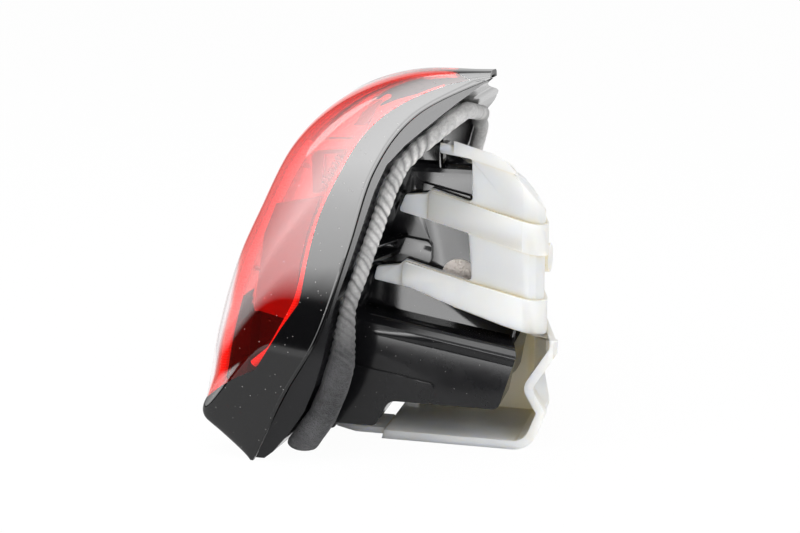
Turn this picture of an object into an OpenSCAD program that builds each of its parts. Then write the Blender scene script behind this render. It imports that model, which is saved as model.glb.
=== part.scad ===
// Right-hand tail light cluster, outboard flank towards -Y, lens towards -X, installed up is +Z.
// It stands on the lens chin and the flat floor of its rear cap. The origin is under its middle.

/* [Lens] */
// Width of the lamp across the car
lamp_w = 200; // [184:1:230]
// Wall of both lens mouldings
lens_wall = 2.5; // [2:0.1:3.2]
// Radius where the flank turns into the rear face
corner_r = 42; // [34:1:46]
// Radius of the same turn at the chin
chin_r = 5; // [4:0.5:10]
// Fullness of the turn, where 1 is an ellipse and less is squarer
turn_power = 0.65; // [0.55:0.05:1]
// Radius of the same turn at the tip
tip_r = 4; // [3.6:0.1:5]
// Radius where the rear face turns into the inboard wall
inboard_r = 12; // [8:0.5:16]
// Crown of the rear face
face_crown = 5; // [0:0.5:8]
// Crown of the flank and of the inboard wall
side_crown = 1.2; // [0:0.1:2]
// Black border beside the rim, as a share of the flank
band_share = 0.32; // [0.26:0.01:0.4]
// Gap between the lens rim and the housing land
rim_gap = 0.3; // [0.2:0.05:0.5]

/* [Housing] */
// Wall of the housing
shell_wall = 2.6; // [2.2:0.1:3.4]
// Width of the land under the lens rim
land_w = 6; // [5:0.5:8]
// Step from the lens edge in to the housing edge
edge_step = 1.5; // [1:0.1:2.5]
// Clearance between the deep body and the inside of the cap
body_gap = 4; // [3:0.5:6]
// How far the lower chamber stands out on the flank side
chamber_reach = 60; // [54:1:64]
// Rounding along the chamber
chamber_r = 11; // [8:0.5:13]
// Thickness of the gusset ribs
rib_t = 2.2; // [1.6:0.1:3]

/* [Foam gasket] */
// Diameter of the foam cord
foam_d = 9.6; // [8:0.2:11]
// Distance of the cord from the edge of the lens
foam_inset = 11; // [9.5:0.5:12.5]
// Depth of the gathers where the cord bends
gather = 0.7; // [0.3:0.1:1]

/* [Rear cap] */
// Outer face of the cap on the flank side, from the middle of the lamp
cap_near = 42; // [40:0.5:46]
// Outer face of the cap on the inboard side, from the middle of the lamp
cap_far = 22; // [20:0.5:34]
// Wall of the cap
cap_wall = 4; // [3:0.25:4.5]
// Height of the bands that stiffen the fingers
band_h = 2; // [1:0.25:3]
// How far the rolled rim stands out
roll = 1.5; // [0.5:0.25:2.5]
// Radius of the upright corners of the cap
cap_corner_r = 12; // [8:1:16]
// Angle by which the back of the cap leans in towards the inboard side
cap_draft = 18; // [15:0.5:20]
// Angle by which the top of the cap falls towards the inboard side
cap_fall = 18; // [15:0.5:20]

/* [Inside the lens] */
// Depth of the inner panel below the outer skin
panel_depth = 11; // [9.5:0.5:13]
// Thickness of the inner panel
panel_t = 2; // [1.6:0.1:2.6]
// Diameter of the light guides
guide_d = 5; // [4:0.2:5.6]
// Thickness of the circuit boards
board_t = 1.6; // [1:0.1:2]
// Pitch of the LEDs on a board
led_pitch = 14; // [12:0.5:18]
// Side of an LED
led_side = 3.5; // [2.8:0.1:4]

/* [Fastening] */
// Minor diameter of the threaded inserts
insert_bore = 5; // [4.2:0.1:5.5]
// Outside diameter of the threaded inserts
insert_d = 8; // [7.4:0.1:9]
// Length of the threaded inserts
insert_l = 12; // [9:0.5:14]
// Diameter of the locating pin
pin_d = 8; // [6:0.5:10]
// Length of the locating pin
pin_l = 18; // [12:1:22]
// Diameter of the breather felt
felt_d = 22; // [18:0.5:25]

/* [Hidden] */
lens_red = [0.8, 0.06, 0.05, 0.7];
gloss_black = [0.05, 0.05, 0.06];
milk = [0.9, 0.88, 0.8, 0.9];
foam_grey = [0.35, 0.35, 0.35];
board_green = [0.1, 0.35, 0.2];
guide_clear = [1, 0.5, 0.45, 0.8];

// Side outlines, [x, z] in the plane of the flank, measured from the foot of the lens.
chin_foot = [-80.8, 0];
corner_in = [-108, 22];
corner_tip = [-114.5, 27.5];
corner_out = [-110.8, 34.5];
face_pts = [corner_out, [-107, 73], [-97, 112], [-80, 150], [-57, 193], [-25, 222], [18, 239.5],
    [66, 243.5]];
rim_pts = [[-78, 0], [-57, 44], [-35, 83], [-17, 136], [-1, 184], [24, 217], [66, 239.5]];
flange_pts = [[-75, 0], [-66, 6], [-46, 33], [-34.5, 65], [-27.4, 97], [-18.6, 122], [-7.4, 155],
    [5.5, 187], [28, 209], [47, 225], [60, 235]];
near_y = -lamp_w / 2;
far_y = lamp_w / 2;
tip_w = 12;
// Sizes past every face, for prisms that only cut
above = 260;
below = -20;
beyond = 150;
// Forward run of the rim and of the rear face for each millimetre inboard
rim_slope = 0.1;
face_slope = 0.12;

// Rows run up the lens from foot to tip, columns run from the flank rim round to the inboard rim.
chin_row = 4;
face_row = 8;
top_row = 36;
slope_row = 18;
rim_split = 3;
window_top_row = 34;
band_cols = 4;
turn_cols = 12;
face_cols = 20;
inboard_cols = 24;
last_col = 27;

function lerp(a, b, t) = a + (b - a) * t;
function smooth(t) = let (c = min(max(t, 0), 1)) c * c * (3 - 2 * c);
function unit(v) = v / norm(v);
function blend4(a, b, c, d, t) = 0.5 * (2 * b + (c - a) * t + (2 * a - 5 * b + 4 * c - d) * t * t
    + (3 * b - a - 3 * c + d) * t * t * t);
function along(pts, t) = let (n = len(pts) - 1, i = min(floor(t), n - 1))
    blend4(pts[max(i - 1, 0)], pts[i], pts[i + 1], pts[min(i + 2, n)], t - i);
function bend(a, b, c, t) = lerp(lerp(a, b, t), lerp(b, c, t), t);

function face_share(i) = (i - face_row) / (top_row - face_row);
function face_line(i) = i <= chin_row ? lerp(chin_foot, corner_in, i / chin_row)
    : i <= face_row ? bend(corner_in, corner_tip, corner_out, (i - chin_row) / (face_row - chin_row))
    : along(face_pts, face_share(i) * (len(face_pts) - 1));
function rim_line(i) = i <= face_row ? along(rim_pts, i / face_row * rim_split)
    : along(rim_pts, rim_split + face_share(i) * (len(rim_pts) - 1 - rim_split));
function face_out(i) = let (d = unit(face_line(min(i + 0.5, top_row)) - face_line(max(i - 0.5, 0))))
    [-d[1], d[0]];
function inboard_y(i) = far_y - (far_y - near_y - tip_w) * smooth((i - slope_row) / (top_row - slope_row));
function turn_r(i) = i < 26 ? lerp(chin_r, corner_r, smooth((i - chin_row) / 12))
    : lerp(corner_r, tip_r, smooth((i - 26) / (top_row - 26)));
function run_in(i) = lerp(rim_slope, face_slope, smooth(i / face_row));

// The rows sag where the lower edge of the window bows down across the flank.
sag = [[3, 0], [4, 0.2], [5, 2], [6, 1.5], [8, 0.7], [turn_cols, 0]];
function sagged(i, j) = i - lookup(j, sag) * (i <= face_row ? smooth((i - chin_row) / (face_row - chin_row))
    : 1 - smooth((i - face_row) / (slope_row - face_row)));

// One point of the lens skin, or of a surface at a depth below it.
function skin(row, j, depth) = let (
    i = sagged(row, j),
    b = inboard_y(i) - depth,
    r = min(turn_r(i), 0.5 * (inboard_y(i) - near_y)),
    ra = max(r - depth, 0.6),
    rb = max(min(inboard_r, 0.3 * (inboard_y(i) - near_y), 0.45 * norm(face_line(i) - rim_line(i)))
        - depth, 0.5),
    yc = near_y + r,
    swing = j <= band_cols ? 0 : 90 * (j - band_cols) / (turn_cols - band_cols),
    swing_b = 90 * (j - face_cols) / (inboard_cols - face_cols),
    across = (j - turn_cols) / (face_cols - turn_cols),
    y = j <= turn_cols ? yc - ra * pow(cos(min(swing, 90)), turn_power)
        : j <= face_cols ? lerp(yc, b - rb, across)
        : j <= inboard_cols ? b - rb * (1 - sin(swing_b)) : b,
    foot = rim_line(i) + [rim_slope * (y - near_y), 0],
    start = i < chin_row ? near_y : yc,
    crest = face_line(i) - depth * face_out(i) + [run_in(i) * max(0, y - start), 0],
    reach = norm(crest - foot),
    fullness = smooth(reach / 60),
    bulge = j > turn_cols && j < face_cols ? face_crown * fullness * min(1, (b - rb - yc) / 80)
        * (1 - cos(360 * across)) / 2 : 0,
    g = j <= band_cols ? band_share * j / band_cols
        : j <= turn_cols ? band_share + (1 - band_share) * pow(sin(min(swing, 90)), turn_power)
        : j <= face_cols ? 1 + bulge / reach
        : j <= inboard_cols ? 1 - rb / reach * (1 - cos(swing_b))
        : (1 - rb / reach) * (last_col - j) / (last_col - inboard_cols),
    side = j <= band_cols ? -1 : j >= inboard_cols ? 1 : 0,
    belly = side_crown * fullness * sin(180 * min(g, 1)) * side,
    p = foot + g * (crest - foot))
    [p[0], y + belly, p[1]];

frame_x = -(min([for (i = [0 : top_row]) face_line(i)[0]]) + 99) / 2;
module placed() translate([frame_x, 0, 0]) children();

// A closed wall between two depths over a block of rows and columns, with an optional hole in it.
function quad(a, b, c, d) = [[a, b, c], [a, c, d]];
module skin_wall(i0, i1, j0, j1, d0, d1, hole = []) {
    nj = j1 - j0 + 1;
    n = (i1 - i0 + 1) * nj;
    pts = [for (d = [d0, d1]) for (i = [i0 : i1]) for (j = [j0 : j1]) skin(i, j, d)];
    open = len(hole) == 4;
    function id(i, j) = (i - i0) * nj + j - j0;
    function filled(i, j) = !open || i < hole[0] || i >= hole[1] || j < hole[2] || j >= hole[3];
    cells = [for (i = [i0 : i1 - 1]) for (j = [j0 : j1 - 1]) if (filled(i, j)) [i, j]];
    outer = [for (c = cells)
        each quad(id(c[0], c[1]), id(c[0], c[1] + 1), id(c[0] + 1, c[1] + 1), id(c[0] + 1, c[1]))];
    inner = [for (f = outer) [f[0] + n, f[2] + n, f[1] + n]];
    edge = concat(
        [for (j = [j0 : j1 - 1]) [id(i0, j), id(i0, j + 1)]],
        [for (i = [i0 : i1 - 1]) [id(i, j1), id(i + 1, j1)]],
        [for (j = [j1 - 1 : -1 : j0]) [id(i1, j + 1), id(i1, j)]],
        [for (i = [i1 - 1 : -1 : i0]) [id(i + 1, j0), id(i, j0)]]);
    rim = [for (e = edge) each [[e[1], e[0], e[0] + n], [e[1], e[0] + n, e[1] + n]]];
    h = open ? hole : [0, 0, 0, 0];
    hole_edge = open ? concat(
        [for (j = [h[2] : h[3] - 1]) [id(h[0], j), id(h[0], j + 1)]],
        [for (i = [h[0] : h[1] - 1]) [id(i, h[3]), id(i + 1, h[3])]],
        [for (j = [h[3] - 1 : -1 : h[2]]) [id(h[1], j + 1), id(h[1], j)]],
        [for (i = [h[1] - 1 : -1 : h[0]]) [id(i + 1, h[2]), id(i, h[2])]]) : [];
    hole_rim = [for (e = hole_edge) each [[e[0], e[1], e[0] + n], [e[1], e[1] + n, e[0] + n]]];
    polyhedron(pts, concat(outer, inner, rim, hole_rim), convexity = 10);
}

module lens_window() color(lens_red) placed()
    skin_wall(face_row, window_top_row, band_cols, face_cols - 1, 0, lens_wall);

module lens_surround() color(gloss_black) placed()
    skin_wall(0, top_row, 0, last_col, 0, lens_wall, [face_row, window_top_row, band_cols, face_cols - 1]);

// Prisms. A drawn side outline runs inboard with the slope of the rim, or straight across or up.
skew = atan(rim_slope);
function squeeze(pts) = [for (p = pts) [p[0] * cos(skew), p[1]]];
module flange_plate() slant_prism(concat(shifted(rim_curve, rim_gap), reversed(flange_curve)));
module slant_prism(pts) translate([0, near_y, 0]) rotate([0, 0, -skew]) rotate([90, 0, 0])
    translate([0, 0, -lamp_w - 60]) linear_extrude(lamp_w + 100) polygon(squeeze(pts));
module cross_prism(y0, y1) rotate([90, 0, 0]) translate([0, 0, -y1]) linear_extrude(y1 - y0) children();
module long_prism(x0, x1) rotate([90, 0, 90]) translate([0, 0, x0]) linear_extrude(x1 - x0) children();

rim_curve = [for (i = [0 : top_row]) rim_line(i)];
flange_curve = [for (k = [0 : 2 * (len(flange_pts) - 1)]) along(flange_pts, k / 2)];
function shifted(pts, dx) = [for (p = pts) p + [dx, 0]];
function reversed(pts) = [for (k = [len(pts) - 1 : -1 : 0]) pts[k]];
rear_outline = concat([[near_y, 0]], [for (i = [0 : top_row]) [inboard_y(i), rim_line(i)[1]]],
    [[near_y, rim_line(top_row)[1]]]);

// Outlines with a radius at each corner: [x, y, radius].
function corner_arc(a, b, c, r, n) = let (
    u = unit(a - b), w = unit(c - b), half = acos(u * w) / 2, reach = r / tan(half),
    o = b + unit(u + w) * r / sin(half), s = b + u * reach - o, e = b + w * reach - o,
    turn = sign(cross(s, e)) * (180 - 2 * half))
    [for (k = [0 : n]) let (t = turn * k / n)
        o + [s[0] * cos(t) - s[1] * sin(t), s[0] * sin(t) + s[1] * cos(t)]];
function xy(p) = [p[0], p[1]];
function rounded(p, n = 5) = let (m = len(p)) [for (k = [0 : m - 1])
    each p[k][2] > 0 ? corner_arc(xy(p[(k + m - 1) % m]), xy(p[k]), xy(p[(k + 1) % m]), p[k][2], n)
        : [xy(p[k])]];

// Height of the flange surface above the flank plane, and the same at any distance inboard.
flange_table = [for (p = flange_curve) [p[1], p[0]]];
function flange_x(y, z) = lookup(z, flange_table) + rim_slope * (y - near_y);

// Places on the inboard half of the flange, [y, z].
insert_at = [[far_y - 27, 45], [far_y - 30, 152]];
header_at = [far_y - 28, 88];
pin_at = [far_y - 28, 120];
header_size = [22, 18, 30];
header_wall = 2;
header_gap = 0.2;
insert_collar = 3;
screw_relief = 1.5;

// Deep body and lower chamber behind the flange.
body_near = cap_near - cap_wall - body_gap;
body_far = cap_far - cap_wall - body_gap;
body_top = [[-70, 34, 0], [58, 34, 8], [70, 66, 8], [79, 84, 8], [77, 142, 16], [60, 170, 14],
    [30, 178, 6], [-70, 178, 0]];
chamber_pts = [[-60, 14, 0], [-12, 14, 5], [-3, 31, 7], [65, 31, 5], [76, 66, 4], [73, 70, 5],
    [-60, 92, 0]];
chamber_tilt = 9.4;
// Place and drop of each catch
catch_at = [[-19, 107, 3], [-4, 152, 3], [20, 187, 13]];
gusset_at = [[129, 3], [119, -1]];
gusset_y = near_y + 18;
bezel_rests = [42, 52, 198, 208];
post_at = [[near_y + 56, 104], [near_y + 56, 152], [far_y - 30, 70], [far_y - 30, 152]];
screw_pilot = 3;
screw_clear = 4.2;

// Tapers of the body and the cap: the back wall leans in and the top falls, both going inboard.
module drafted(x, reach, inset) translate([x - inset, -reach, -10]) rotate([0, 0, cap_draft])
    translate([-2 * beyond, -beyond, 0]) cube([2 * beyond, 2 * beyond, above]);
module sloped_prism(reach, inset, pts) translate([0, -reach, 0]) rotate([-cap_fall, 0, 0])
    cross_prism(-beyond, beyond)
    offset(delta = -inset) polygon([for (p = pts) [p[0], p[1] * cos(cap_fall)]]);
module body_form(inset) intersection() {
    sloped_prism(body_near, inset, rounded(body_top));
    long_prism(-beyond, beyond) offset(delta = -inset)
        polygon(rounded([[-body_near, 34, 6], [body_far, 34, 6], [body_far, 178, 0],
            [-body_near, 178, 8]]));
    drafted(81, body_near, inset);
}

module chamber_form(inset) intersection() {
    cross_prism(-chamber_reach + inset, body_far - inset) offset(delta = -inset)
        polygon(rounded(chamber_pts));
    translate([-31, 0, 87]) rotate([0, chamber_tilt, 0]) long_prism(-60, 140) offset(delta = -inset)
        polygon(rounded([[-chamber_reach, -90, 3], [30, -90, 0], [30, 0, 0],
            [-chamber_reach, 0, chamber_r]]));
    drafted(76, chamber_reach, inset);
}

module forward_of_flange(lift) slant_prism(concat([[above, below], [above, above]],
    reversed(shifted(flange_curve, lift)), [[flange_pts[0][0], below]]));

module housing_hollow() {
    intersection() {
        slant_prism(concat(shifted(rim_curve, -20), reversed(shifted(flange_curve, -shell_wall))));
        long_prism(-beyond, beyond) offset(delta = -edge_step - land_w) polygon(rear_outline);
    }
    intersection() {
        union() {
            body_form(shell_wall);
            chamber_form(shell_wall);
        }
        forward_of_flange(-shell_wall - 1);
    }
}

module housing() color(gloss_black) placed() {
    difference() {
        union() {
            intersection() {
                flange_plate();
                long_prism(-beyond, beyond) offset(delta = -edge_step) polygon(rear_outline);
            }
            intersection() {
                union() {
                    body_form(0);
                    chamber_form(0);
                }
                forward_of_flange(-shell_wall);
            }
        }
        housing_hollow();
        translate([flange_x(header_at[0], header_at[1]), header_at[0], header_at[1]])
            cube([40, header_size[1] - 4, header_size[2] - 4], center = true);
    }
    header_seat();
    for (p = insert_at) insert_boss(p);
    for (p = post_at) board_post(p);
    bezel_ledges();
    flank_slots();
    for (p = driver_posts) translate([p[0], driver_y + board_t + board_gap, p[1]]) rotate([-90, 0, 0])
        cylinder(d = 6, h = body_far - shell_wall / 2 - driver_y - board_t - board_gap, $fn = 24);
    locating_pin();
    housing_ribs();
}

// A round boss that rises square from the sloping flange to a height over its middle
module boss(p, d, height) intersection() {
    translate([flange_x(p[0], p[1]) - d, p[0], p[1]]) rotate([0, 90, 0])
        cylinder(d = d, h = d + height, $fn = 48);
    forward_of_flange(-shell_wall / 2);
}

module insert_boss(p) difference() {
    boss(p, insert_d + 6, insert_collar + insert_l);
    translate([flange_x(p[0], p[1]) + insert_collar, p[0], p[1]]) rotate([0, 90, 0]) {
        cylinder(d = insert_d, h = insert_l + 1, $fn = 48);
        translate([0, 0, -screw_relief]) cylinder(d = insert_bore + 1, h = 2 * screw_relief, $fn = 48);
    }
}

// Raised frame that brings the sloping flange up square under the connector
module header_seat() difference() {
    translate([header_x - header_gap - 6, header_at[0], header_at[1]])
        cube([12, header_size[1], header_size[2]], center = true);
    translate([header_x, header_at[0], header_at[1]])
        cube([60, header_size[1] - 4, header_size[2] - 4], center = true);
    forward_limit(-shell_wall);
}

module forward_limit(lift) slant_prism(concat(reversed(shifted(flange_curve, lift)),
    [[-above, below], [-above, above]]));

module locating_pin() {
    boss(pin_at, pin_d, pin_l);
    boss(pin_at, pin_d + 6, insert_collar);
}

// Ledges under the edge of the bezel, level with the rim
module bezel_ledges() intersection() {
    flange_plate();
    long_prism(-beyond, beyond) for (z = bezel_rests) translate([near_y + edge_step + land_w - 1, z])
        square([bezel_depth + bezel_t - edge_step - land_w + 2, 5]);
}

// Pairs of ribs that hold the edge of the flank board
module flank_slots() for (z = [112, 150]) for (y = [flank_y - board_gap - rib_t,
    flank_y + board_t + board_gap])
    translate([flange_x(y, z) - shell_wall - 8, y, z]) cube([9, rib_t, 8]);

board_x = -42;
sink_t = 3;
board_gap = 0.2;
post_top = board_x + board_t + board_gap + sink_t + board_gap;
module board_post(p) translate([post_top, p[0], p[1]]) rotate([0, 90, 0]) difference() {
    cylinder(d = 8, h = flange_x(p[0], p[1]) - post_top - shell_wall / 2, $fn = 32);
    translate([0, 0, -1]) cylinder(d = screw_pilot, h = 11, $fn = 24);
}

module housing_ribs() {
    // Tapering rib on the chamber
    translate([0, -chamber_reach - 2, 0]) cross_prism(0, 4)
        polygon([[-40, 56], [-40, 49], [26, 41.5], [24, 44.5]]);
    // Gussets between the flange and the body
    for (g = gusset_at) translate([0, 0, g[0]]) linear_extrude(rib_t)
        polygon([[flange_x(-body_near, g[0]) - 2, -body_near + 1], [flange_x(gusset_y, g[0]) - 1, gusset_y],
            [flange_x(gusset_y, g[0]) + 2, gusset_y], [g[1], -body_near + 1]]);
    // Raised pad and step on the near wall
    cross_prism(-body_near - 3, -body_near + 1)
        polygon(rounded([[-4, 113, 0], [18, 113, 4], [18, 127, 4], [-4, 130, 0]]));
    cross_prism(-body_near - 3, -body_near + 1)
        polygon(rounded([[12, 156, 1], [42, 150, 1], [42, 157, 1], [12, 164, 1]]));
    // Catches under the finger tips
    for (c = catch_at) translate([c[0], -body_near - 3.6, c[1]]) {
        cube([8, 8, rib_t]);
        translate([3, 0, -c[2]]) cube([rib_t, 8, c[2] + 5]);
    }
    // Locating tab low on the flank side
    translate([-56, -70, 14]) cross_prism(0, 10)
        polygon(rounded([[0, 0, 0], [22, 0, 3], [22, 6, 2], [0, 6, 0]]));
}

// Foam cord along a rounded loop on the flange.
loop_in = foam_inset;
foam_low = foam_d / 2 + 5.2;
foam_loop = rounded([[near_y + loop_in, foam_low, 10], [far_y - loop_in, foam_low, 20],
    [far_y - loop_in, 176, 26], [far_y - 60, 198, 60], [near_y + loop_in + 3, 223, 9]], 8);
function loop_length(p) = let (n = len(p))
    [for (k = 0, s = 0; k <= n; s = s + norm(p[(k + 1) % n] - p[k % n]), k = k + 1) s];
foam_run = loop_length(foam_loop);
foam_rings = 96;
foam_gap = 0.4;
function loop_at(s) = let (k = max([for (m = [0 : len(foam_loop) - 1]) foam_run[m] <= s ? m : 0]),
    t = (s - foam_run[k]) / max(foam_run[k + 1] - foam_run[k], 0.001))
    lerp(foam_loop[k], foam_loop[(k + 1) % len(foam_loop)], t);
function foam_point(k) = let (p = loop_at(foam_run[len(foam_loop)] * (k % foam_rings) / foam_rings),
    slope = (flange_x(p[0], p[1] + 2) - flange_x(p[0], p[1] - 2)) / 4)
    [flange_x(p[0], p[1]), p[0], p[1]] + (foam_d / 2 + foam_gap) * unit([1, -rim_slope, -slope]);
function foam_radius(k) = foam_d / 2 - (k % 2 == 0 && k > foam_rings * 0.62 ? gather : 0);

// A tube swept along points, closed on itself or ended flat, its frame laid off from a direction.
module tube(path, radii, sides, closed, side) {
    n = len(path);
    ahead = [for (k = [0 : n - 1]) unit(closed ? path[(k + 1) % n] - path[(k + n - 1) % n]
        : path[min(k + 1, n - 1)] - path[max(k - 1, 0)])];
    pts = [for (k = [0 : n - 1]) let (u = unit(cross(ahead[k], side)), v = cross(ahead[k], u))
        for (m = [0 : sides - 1]) let (t = 360 * m / sides) path[k] + radii[k] * (cos(t) * u + sin(t) * v)];
    span = closed ? n : n - 1;
    skin_faces = [for (k = [0 : span - 1]) for (m = [0 : sides - 1])
        let (a = k * sides, b = (k + 1) % n * sides, m2 = (m + 1) % sides)
        each [[a + m, b + m, b + m2], [a + m, b + m2, a + m2]]];
    last = (n - 1) * sides;
    caps = closed ? [] : [[for (m = [0 : sides - 1]) m], [for (m = [sides - 1 : -1 : 0]) last + m]];
    polyhedron(pts, concat(skin_faces, caps), convexity = 8);
}

module foam_gasket() color(foam_grey) placed()
    tube([for (k = [0 : foam_rings - 1]) foam_point(k)], [for (k = [0 : foam_rings - 1]) foam_radius(k)],
        10, true, [1, 0, 0]);

// Rear cap
cap_pts = [[-80, roll, 0], [81, roll, 14], [90, 25, 5], [81, 40, 6], [97.5, 66, 9], [93, 100, 40],
    [91, 160, 20], [62, 200, 0], [-80, 210, 0]];
cap_top = [[-80, -40, 0], [110, -40, 0], [110, 130, 0], [92, 148, 16], [62, 181, 20], [34, 189, 5],
    [-80, 202, 0]];
cap_upper_x = 91.5;
cap_lean = (cap_near + cap_far) * tan(cap_draft);
far_shift = rim_slope * (cap_near + cap_far) + 1;
split_line = [[-90, 133], [-17, 103], [8, 98.5], [33, 89], [64, 79], [130, 62]];
open_line = [[-12, -10], [-12, 0], [20, 112], [33, 190], [33, 220]];
near_fingers = [[26, 215, 0], [24, 184, 1.5], [44, 181, 2], [44.5, 154, 2.5], [19, 161.5, 1.5],
    [16, 158.5, 1], [3, 157, 1.5], [-1, 147, 1.5], [42, 136, 2.5], [44.5, 105, 2.5], [3, 116.5, 1.5],
    [-1, 113, 1], [-15, 111, 1.5], [-17, 103, 1.5], [8, 98.5, 6], [33, 89, 10], [64, 79, 10],
    [130, 62, 0], [130, 215, 0]];
bands = [[[18, 161, 2], [45, 153.5, 0], [96, 139, 0], [96, 120, 0], [44, 135.5, 0], [17, 142.8, 2]],
    [[2, 116, 2], [45, 104.5, 0], [110, 89, 0], [110, 67.5, 0], [64, 79.5, 0], [33, 89.5, 0],
        [8, 99, 0], [1, 101.5, 2]],
    [[33, 215, 0], [33, 183.5, 1], [44, 181.5, 0], [96, 166, 0], [96, 215, 0]]];

module cap_plan(x, r, grow) offset(delta = grow)
    polygon(rounded([[-80, -cap_near, 0], [x, -cap_near, r], [x - cap_lean, cap_far, r],
        [-80, cap_far, 0]]));
module cap_form(grow) {
    intersection() {
        cross_prism(-80, 80) offset(delta = grow) polygon(rounded(cap_pts));
        translate([0, 0, below]) linear_extrude(above) cap_plan(cap_upper_x, cap_corner_r, grow);
        sloped_prism(cap_near, -grow, rounded(cap_top));
        cross_prism(-80, 80) polygon(concat(split_line, [[130, 240], [-90, 240]]));
    }
    intersection() {
        cross_prism(-80, 80) offset(delta = grow) polygon(rounded(cap_pts));
        translate([0, 0, below]) linear_extrude(above) cap_plan(97.5, 5, grow);
        cross_prism(-80, 80) polygon(concat(split_line, [[130, -30], [-90, -30]]));
    }
}
module left_of_cap() polygon(concat(open_line, [[-100, 220], [-100, -10]]));
module finger_outline() polygon(rounded(near_fingers, 3));

module rear_cap() color(milk) placed() {
    difference() {
        union() {
            cap_form(0);
            intersection() {
                cap_form(band_h);
                for (b = bands) cross_prism(-80, 0) polygon(rounded(b, 3));
            }
            intersection() {
                cap_form(roll);
                cross_prism(-cap_near - roll, -cap_near + cap_wall + 2) difference() {
                    polygon(concat(split_line, [[130, -30], [-90, -30]]));
                    left_of_cap();
                }
            }
        }
        cap_form(-cap_wall);
        // Near side: all but the fingers and the rim of the mouth
        cross_prism(-cap_near - 10, -cap_near + cap_wall) difference() {
            union() {
                left_of_cap();
                offset(delta = -cap_wall) polygon(rounded(cap_pts));
            }
            finger_outline();
        }
        // Everything between the two side walls stops at the open line
        cross_prism(-cap_near + cap_wall, cap_far - cap_wall) left_of_cap();
        // Inboard side: fingers above, whole wall below
        cross_prism(cap_far - cap_wall, cap_far + 10) translate([far_shift, 0]) difference() {
            union() {
                left_of_cap();
                polygon(concat(split_line, [[130, 240], [-90, 240]]));
            }
            finger_outline();
        }
    }
    // Boss on the back wall
    translate([cap_upper_x - 12, -6, 114]) rotate([0, 90, 0]) cylinder(d = 18, h = 7, $fn = 40);
    // Stepped finger of the floor
    translate([0, 0, roll]) cross_prism(-cap_near + 3, -cap_near + 29)
        polygon(rounded([[-11, 0, 0], [-11, 4, 0], [-30, 4, 1], [-32, 5.5, 1], [-43, 6.5, 1],
            [-43, 3, 1], [-30, 0, 2]]));
}

module vent_felt() color([0.8, 0.74, 0.68]) placed()
    translate([35, -body_near - 0.1, 106]) rotate([90, 0, 0]) cylinder(d = felt_d, h = 1, $fn = 48);

// Inner bezel, panel and light guides, all at a depth below the outer skin.
bezel_t = 2;
bezel_depth = panel_depth + panel_t + 1;
// Raised bars on the flank of the bezel: a frame, a thin bar, a slanted plate and a row of teeth
bar_rise = 2.5;
frame_bars = [[[-42.5, 191.4], [-21.3, 193.6], [-21.9, 191], [-42.5, 188.7]],
    [[-41.3, 189.7], [-34, 190.1], [-36.1, 166.7], [-41.6, 165.8]],
    [[-36.9, 200], [-17, 200.9], [-17, 199.2], [-36.9, 198.2]],
    [[-17, 207.4], [-8.6, 207.8], [0.9, 223.3], [-3.8, 223.1]]];
teeth_from = [-36.1, 169.1];
teeth_to = [-23.1, 192.4];
teeth_count = 7;
teeth_run = norm(teeth_to - teeth_from);
teeth_lean = atan2(teeth_from[0] - teeth_to[0], teeth_to[1] - teeth_from[1]);
module inner_bezel() color([0.09, 0.09, 0.1]) placed() {
    skin_wall(9, 33, 0, 19, bezel_depth, bezel_depth + bezel_t, [12, 25, 13, 18]);
    cross_prism(near_y + bezel_depth - bar_rise, near_y + bezel_depth + bezel_t / 2) {
        for (b = frame_bars) polygon(b);
        for (k = [0 : teeth_count - 1]) translate(lerp(teeth_from, teeth_to, (k + 0.5) / teeth_count))
            rotate(teeth_lean) square([4, 0.6 * teeth_run / teeth_count], center = true);
        translate(lerp(teeth_from, teeth_to, 0.5)) rotate(teeth_lean)
            square([1, teeth_run], center = true);
    }
}
panel_pts = [[-78.8, 93], [-58.8, 88], [-53, 99.7], [-49.5, 123.4], [-45, 141.4], [-36.5, 164.5],
    [-47.7, 162.2], [-63.2, 158.5], [-71, 139.8]];
module inner_panel() color([0.6, 0.1, 0.1]) placed()
    cross_prism(near_y + panel_depth, near_y + panel_depth + panel_t) polygon(panel_pts);

guide_depth = lens_wall + guide_d / 2 + 3;
corner_depth = guide_depth - 2;
edge_path = [[32, 4.14], [26, 4.14], [20, 4.14], [14, 4.14], [11, 4.16], [9.5, 4.3], [9.1, 4.8], [9, 6.2]];
corner_path = [[24.5, 8.8], [20, 9.2], [14, 9.2], [10, 9.5], [8.5, 10]];
inboard_path = [[29, 18.6], [22, 18.6], [16, 18.6], [10, 18.6]];
module guide(path, depth)
    let (line = [for (t = [0 : 0.2 : len(path) - 1]) let (c = along(path, t)) skin(c[0], c[1], depth)])
    tube(line, [for (p = line) guide_d / 2], 8, false, [0, 1, 0]);
module edge_light_guide() color(guide_clear) placed() guide(edge_path, guide_depth);
module corner_light_guide() color(guide_clear) placed() guide(corner_path, corner_depth);
module inboard_light_guide() color(guide_clear) placed() guide(inboard_path, guide_depth);
clip_gap = 0.5;
clip_seat = 1.2;
clip_at = concat([for (t = [0.4, 1, 1.6, 3]) [along(edge_path, t), guide_depth]],
    [for (t = [0.4, 1, 1.6, 3]) [along(corner_path, t), corner_depth]],
    [for (t = [0.6, 1.6, 2.6]) [along(inboard_path, t), guide_depth]]);
module guide_clips() color([0.15, 0.15, 0.16]) placed() for (c = clip_at)
    let (a = skin(c[0][0], c[0][1], c[1] + guide_d / 2 + clip_gap),
        b = skin(c[0][0], c[0][1], bezel_depth - clip_seat))
        tube([a, b], [1.6, 1.6], 8, false, [0, 0, 1]);

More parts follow.
